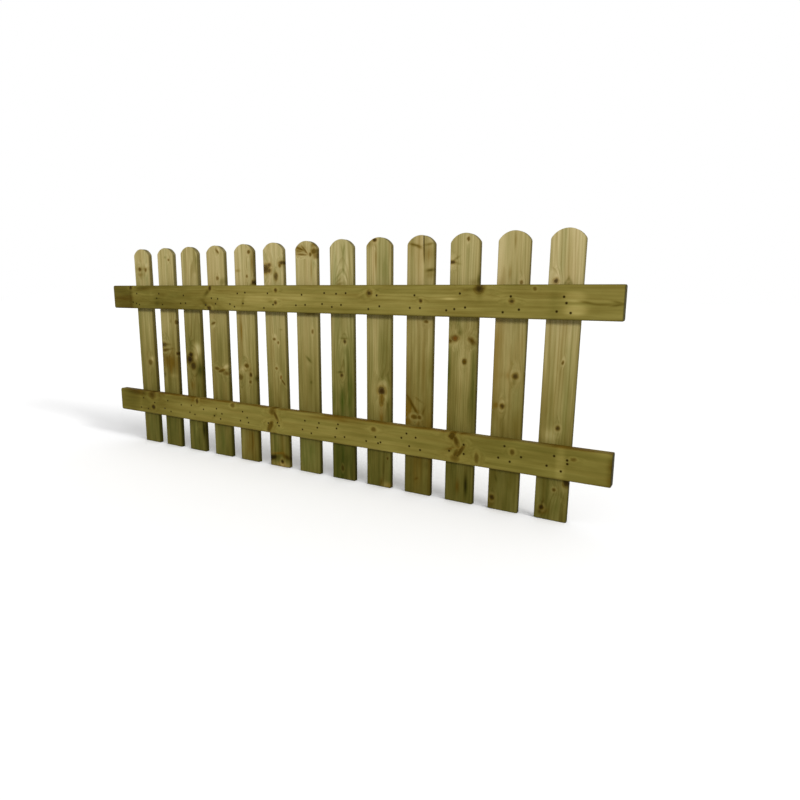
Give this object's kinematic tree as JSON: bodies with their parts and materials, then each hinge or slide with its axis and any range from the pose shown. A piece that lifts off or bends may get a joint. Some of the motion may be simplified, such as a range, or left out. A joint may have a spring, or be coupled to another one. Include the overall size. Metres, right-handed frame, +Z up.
{
  "type": "picket fence panel",
  "caption": "Straight round-top picket fence panel of pressure-treated softwood: spaced pales with arched heads nailed flat across two rails whose ends run past the row for fixing to posts.",
  "frame": {"origin": "on the post face of the bottom rail, in the middle of the length that bears on the left post, at mid depth of the rail", "axes": "+X along the rails to the right as seen from the rail side, +Y from the post faces towards the pales, +Z up"},
  "size_m": [2, 0.053, 0.8004],
  "materials": {
    "rail_timber": "planed softwood, pressure treated to a green-brown",
    "pale_timber": "planed softwood, pressure treated to a pale green-tan, darker towards the foot"
  },
  "bodies": {
    "root": {"bottom_rail": "rail_timber", "top_rail": "rail_timber", "pale_01": "pale_timber", "pale_02": "pale_timber", "pale_03": "pale_timber", "pale_04": "pale_timber", "pale_05": "pale_timber", "pale_06": "pale_timber", "pale_07": "pale_timber", "pale_08": "pale_timber", "pale_09": "pale_timber", "pale_10": "pale_timber", "pale_11": "pale_timber", "pale_12": "pale_timber", "pale_13": "pale_timber"}
  },
  "joints": []
}
